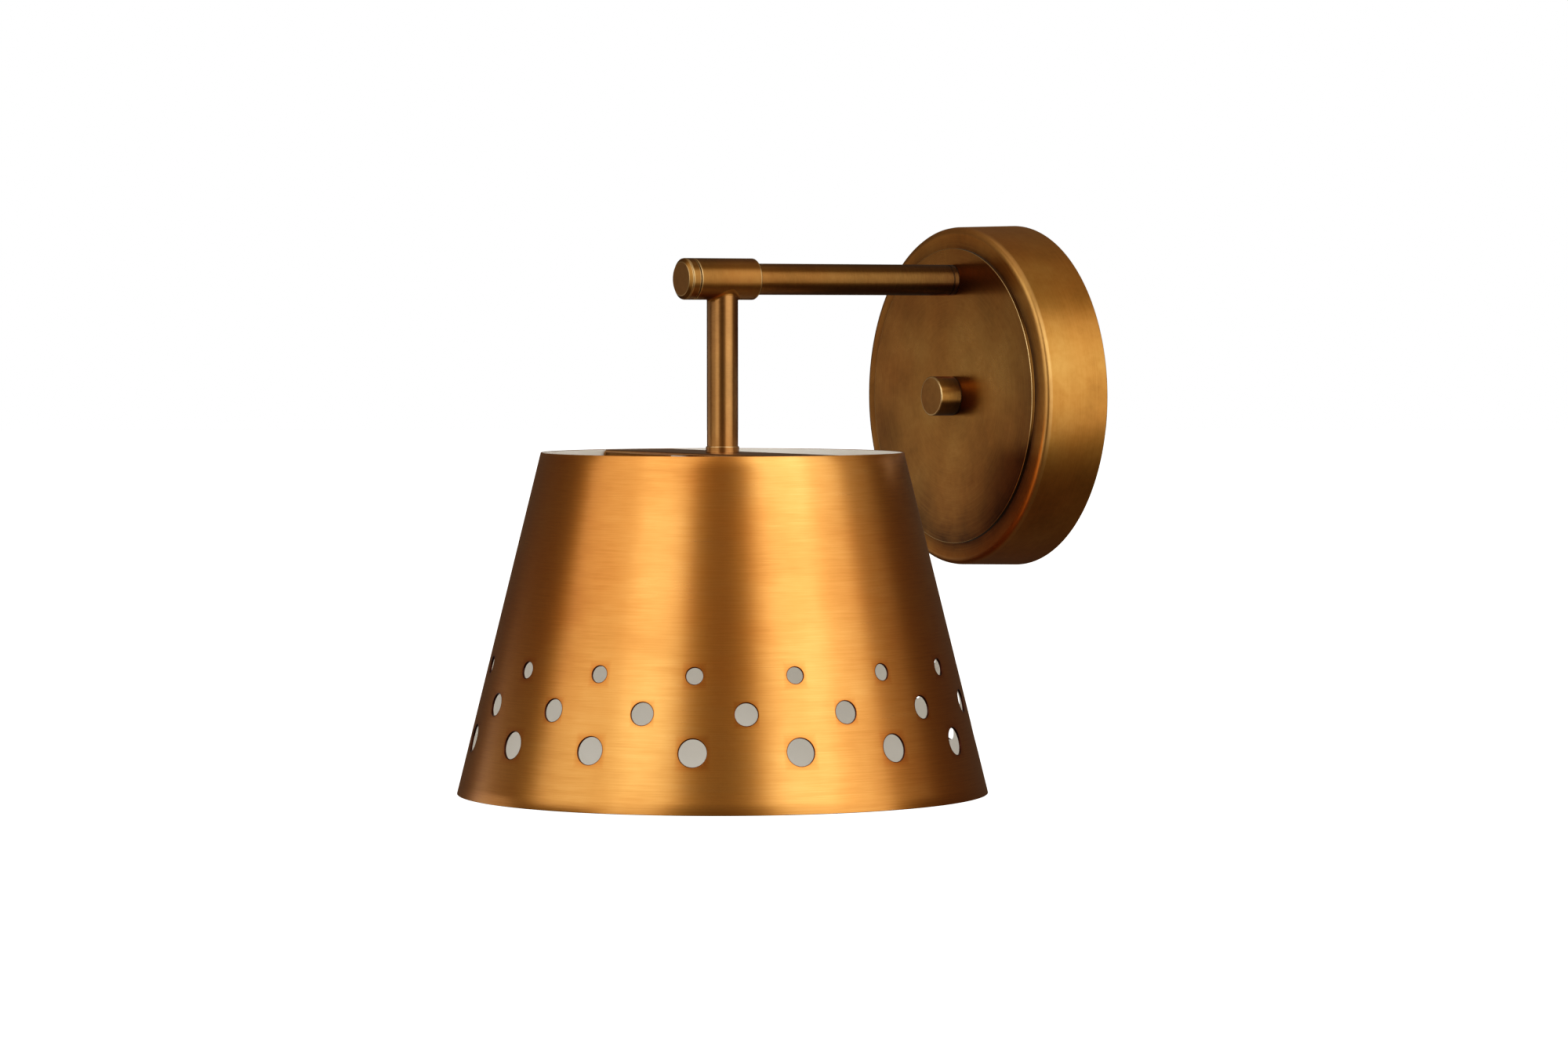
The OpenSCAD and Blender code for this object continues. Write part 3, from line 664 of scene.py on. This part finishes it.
def make_shade():
    drops, first_fine = shade_drops()
    slope = math.atan((SHADE_BOTTOM_R - SHADE_TOP_R) / SHADE_H)
    bm = bmesh.new()
    wear_and_painted_light = bm.verts.layers.float.new("wear_and_painted_light")
    bmesh.ops.create_grid(bm, x_segments=COLUMNS, y_segments=len(drops) - 1, size=1)
    for vert in bm.verts:
        vert.co.x = round((vert.co.x + 1) / 2 * COLUMNS)
        vert.co.y = round((1 - vert.co.y) / 2 * (len(drops) - 1))
    half_pitch = COLUMNS / ROW_HOLES / 2
    holes = []
    for row, (width, half, shifted) in enumerate(HOLE_ROWS):
        line = first_fine + 4 + row * PITCH_CELLS
        for i in range(ROW_HOLES):
            column = (i + 0.5) * 2 * half_pitch if shifted else i * 2 * half_pitch + (0 if i else COLUMNS)
            holes.append((column, line, width, half, ROW_DROP + row * ROW_PITCH))
    bmesh.ops.remove_doubles(bm, verts=bm.verts, dist=1e-4)
    # The seam is closed before the holes, so that their patches may cross it
    for vert in bm.verts:
        if vert.co.x == COLUMNS:
            vert.co.x = 0
    bmesh.ops.remove_doubles(bm, verts=bm.verts, dist=1e-4)

    def face_column(face):
        columns = [v.co.x for v in face.verts]
        if max(columns) - min(columns) > COLUMNS / 2:
            columns = [c + COLUMNS if c < COLUMNS / 2 else c for c in columns]
        return sum(columns) / len(columns)

    by_cell = {(round(face_column(f) - 0.5) % COLUMNS, round(sum(v.co.y for v in f.verts) / 4 - 0.5)): f
               for f in bm.faces}
    patches = []
    for column, line, width, half, drop in holes:
        gone = [by_cell[(int(column) + dx) % COLUMNS, line + dy]
                for dx in range(-half, half) for dy in range(-half, half)]
        rim = {e for f in gone for e in f.edges if any(g not in gone for g in e.link_faces)}
        patches.append((gone, list(rim)))
    bmesh.ops.delete(bm, geom=[f for gone, _ in patches for f in gone], context="FACES")
    for vert in list(bm.verts):
        if not vert.link_faces:
            bm.verts.remove(vert)
    for vert in bm.verts:
        vert.co = on_cone(vert.co.x, drops[int(vert.co.y)])
    for (column, line, width, half, drop), (_, rim) in zip(holes, patches):
        centre = on_cone(column, drop)
        r_here = math.hypot(centre.x, centre.y)
        outside = rim
        for radius, edge_mark in ((width / 2 + HOLE_RIM, 0.3), (width / 2, 1.0)):
            loop = bmesh.ops.create_circle(bm, segments=8 * half, radius=radius)["verts"]
            for vert in loop:
                across, down = vert.co.x, vert.co.y * math.cos(slope)
                vert.co = on_cone(column + math.degrees(across / r_here) * COLUMNS / 360, drop + down)
                vert[wear_and_painted_light] = edge_mark
            circle = list({e for v in loop for e in v.link_edges})
            bmesh.ops.bridge_loops(bm, edges=outside + circle)
            outside = circle
    bmesh.ops.recalc_face_normals(bm, faces=bm.faces)
    shade = finished("shade_shell", bm, upright(0, ROD_Y, SHADE_TOP))
    wall = sheet_wall(shade, SHADE_WALL)
    wall.use_even_offset = True
    # The inner wall takes the second finish, and the cut edges keep the first
    wall.material_offset = 1
    wall.material_offset_rim = 0
    rounded_edges(shade, 0.14 * MM)
    stands_for(shade, "shade", "lamp_head", "shade_brass", SHADE_BRASS, SHADE_WHITE)


make_shade()


# ---------- canopy, arm, tee and downrod ----------

# Radii and places in millimetres: from the wall for the canopy and the arm, up from the origin for the rod
PAN_FRONT = 27.4
PLATE_FRONT = 28.9
PLATE_R = 57.7
ARM_HOLE_R = 5.2
TUBE_R = 6
TUBE_BORE_R = 5
ARM_END = 121.9
BARREL_R = 7.95
BARREL_BORE_R = 5.05
BARREL_BACK = 118.9
ROD_FOOT = -20.9


def make_canopy():
    pan = turned("canopy_shell", in_mm([
        (66.75, 0, 0.3), (66.0, PAN_FRONT, 2.5), (ARM_HOLE_R, PAN_FRONT, 0.2), (ARM_HOLE_R, 26.2, 0.2),
        (64.8, 26.2, 1.3), (65.55, 0, 0.3)
    ]), from_wall(0, 0, 0), 240)
    stands_for(pan, "canopy_pan", "wall_mount", "aged_brass", CANOPY_BRASS)
    plate = turned("face_plate", in_mm([
        (PLATE_R, PAN_FRONT, -0.1), (PLATE_R, 28.5, -0.05), (PLATE_R, PLATE_FRONT, 0.15),
        (ARM_HOLE_R, PLATE_FRONT, 0.1), (ARM_HOLE_R, PAN_FRONT, 0.1)
    ]), from_wall(0, 0, 0), 240, 0.1 * MM)
    stands_for(plate, "canopy_plate", "wall_mount", "aged_brass", PLATE_BRASS)
    # The pan and the plate are left out of the reflections on the other pieces
    pan.visible_glossy = False
    plate.visible_glossy = False
    knob = turned("canopy_cap_nut", in_mm([
        (7.65, PLATE_FRONT, -0.1), (7.65, 38.3, 0.3), (0, 38.3, 0), (0, 37.0, 0), (5.05, 37.0, 0.2),
        (5.05, 29.9, 0.2), (6.5, 29.9, 0.1), (6.5, PLATE_FRONT, 0.1)
    ]), from_wall(0, 0, 0), 96)
    stands_for(knob, "canopy_knob", "knob", "aged_brass", KNOB_BRASS)


def make_arm():
    arm = turned("arm_pipe", in_mm([
        (TUBE_R, PLATE_FRONT, -0.1), (TUBE_R, 30.9, -0.05), (5.92, 31, -0.05), (5.92, 31.15, -0.05),
        (TUBE_R, 31.25, -0.05), (TUBE_R, ARM_END, 0.2), (TUBE_BORE_R, ARM_END, 0.2),
        (TUBE_BORE_R, PLATE_FRONT, 0.2)
    ]), from_wall(0, 0, ARM_Z), 96)
    stands_for(arm, "arm_tube", "wall_mount", "aged_brass", ARM_BRASS)
    sleeve = turned("tee_barrel", in_mm([
        (BARREL_R, BARREL_BACK, 0.4), (BARREL_R, 145.4, 0.25), (BARREL_BORE_R, 145.4, 0.2),
        (BARREL_BORE_R, 122, 0.1), (6.05, 122, 0.1), (6.05, BARREL_BACK, 0.15)
    ]), from_wall(0, 0, ARM_Z), 120)
    stands_for(sleeve, "tee_sleeve", "lamp_head", "aged_brass", TEE_BRASS)
    ring = turned("tee_end_ring", in_mm([
        (BARREL_R, 145.75, 0.2), (BARREL_R, 149.05, 0.3), (BARREL_BORE_R, 149.05, 0.2),
        (BARREL_BORE_R, 145.75, 0.2)
    ]), from_wall(0, 0, ARM_Z), 120)
    stands_for(ring, "end_ring", "cap_carrier", "aged_brass", TEE_BRASS)
    cap = turned("tee_end_cap", in_mm([
        (0, 139.2, 0), (3.1, 139.2, -0.3), (3.1, 146.2, 0.1), (5, 146.2, 0.2), (5, 149.15, 0.1),
        (7.85, 149.15, 0.06), (7.85, 149.32, 0.1), (6.45, 150.3, 0.25), (0, 150.3, 0)
    ]), from_wall(0, 0, ARM_Z), 120, 0.15 * MM)
    stands_for(cap, "end_cap", "cap", "aged_brass", CAP_BRASS)


def make_downrod():
    rod = turned("drop_pipe", in_mm([
        (TUBE_R, ROD_FOOT, 0.2), (TUBE_R, 40.15, 0.1), (TUBE_BORE_R, 40.15, 0.1), (TUBE_BORE_R, ROD_FOOT, 0.2)
    ]), upright(0, ROD_Y, 0), 96)
    stands_for(rod, "downrod", "lamp_head", "aged_brass", ROD_BRASS)
    collar = turned("drop_collar", in_mm([
        (6.4, ROD_FOOT, 0.2), (6.4, -18.5, 0.25), (5.9, -18.5, -0.05), (5.9, ROD_FOOT, -0.05)
    ]), upright(0, ROD_Y, 0), 96, 0.1 * MM)
    stands_for(collar, "rod_collar", "lamp_head", "aged_brass", ROD_BRASS)
    cup = turned("socket_shell", in_mm([
        (22.5, -66, 0.3), (22.5, -22.5, 6), (5.2, -22.5, 0.2), (5.2, -23.5, 0.2), (21.5, -23.5, 5),
        (21.5, -66, 0.3)
    ]), upright(0, ROD_Y, 0), 120)
    stands_for(cup, "socket_cup", "lamp_head", "aged_brass", ROD_BRASS)


def make_braze():
    """Fillet of braze where the downrod meets the tee, wrapped on the sleeve's round underside."""
    bm = bmesh.new()
    reach, steps = 0.95 * MM, 8
    outline = [(ROD_R - 0.3 * MM, -0.4 * MM, 0), (ROD_R - 0.3 * MM, reach, 0)]
    for k in range(steps + 1):
        t = k / steps
        outline.append((ROD_R + reach * t ** 2, reach * (1 - t) ** 2, 0.5 if k in (0, steps) else 0))
    outline.append((ROD_R + reach, -0.4 * MM, 0))
    spun(bm, outline_verts(bm, outline), 120)
    for vert in bm.verts:
        turn = math.atan2(vert.co.y, vert.co.x)
        uneven = 1 + 0.10 * math.sin(5 * turn + 1) + 0.07 * math.sin(11 * turn)
        beyond = max(math.hypot(vert.co.x, vert.co.y) - ROD_R, 0)
        vert.co.x += beyond * (uneven - 1) * math.cos(turn)
        vert.co.y += beyond * (uneven - 1) * math.sin(turn)
        drop = vert.co.z * (uneven if vert.co.z > 0 else 1)
        vert.co.z = ARM_Z - math.sqrt(TEE_R ** 2 - vert.co.x ** 2) - drop
    bmesh.ops.recalc_face_normals(bm, faces=bm.faces)
    bead = finished("braze_fillet", bm, upright(0, ROD_Y, 0))
    stands_for(bead, "tee_braze", "lamp_head", "aged_brass", BRAZE_BRASS)


STRAP_W = 30 * MM
STRAP_WALL = 1.2 * MM


def make_strap():
    """Flat strap bent down at both ends along the inside of the shade."""
    half_w, bend, tab, inside = STRAP_W / 2, 1.6 * MM, 11 * MM, SHADE_WALL + 0.1 * MM
    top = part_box("shade_strap")[1].z
    slope = (SHADE_BOTTOM_R - SHADE_TOP_R) / SHADE_H

    def wall_x(y, z):
        r = SHADE_TOP_R + slope * (SHADE_TOP - z) - inside
        return math.sqrt(r ** 2 - y ** 2)

    # Rows from the end of one tab to the middle of the bridge, as (distance in from the wall, drop)
    rows = [(0, tab), (0, tab * 0.6), (0, tab * 0.3), (0, bend), (0.3 * bend, 0.3 * bend), (bend, 0)]
    bm = bmesh.new()
    bmesh.ops.create_grid(bm, x_segments=2 * len(rows), y_segments=12, size=1)
    for vert in bm.verts:
        step = round((vert.co.x + 1) * len(rows))
        y = vert.co.y * half_w
        side = 1 if step >= len(rows) else -1
        row = min(step, 2 * len(rows) - step)
        if row < len(rows):
            away, drop = rows[row]
            vert.co = (side * (wall_x(y, top - drop) - away), y, top - drop)
        else:
            vert.co = (0, y, top)
    bmesh.ops.recalc_face_normals(bm, faces=bm.faces)
    if sum(f.normal.z for f in bm.faces) < 0:
        bmesh.ops.reverse_faces(bm, faces=bm.faces)
    strap = finished("shade_bridge", bm, upright(0, ROD_Y, 0))
    sheet_wall(strap, STRAP_WALL)
    rounded_edges(strap, 0.25 * MM)
    stands_for(strap, "shade_strap", "lamp_head", "aged_brass", ROD_BRASS)


make_canopy()
make_arm()
make_downrod()
make_braze()
make_strap()
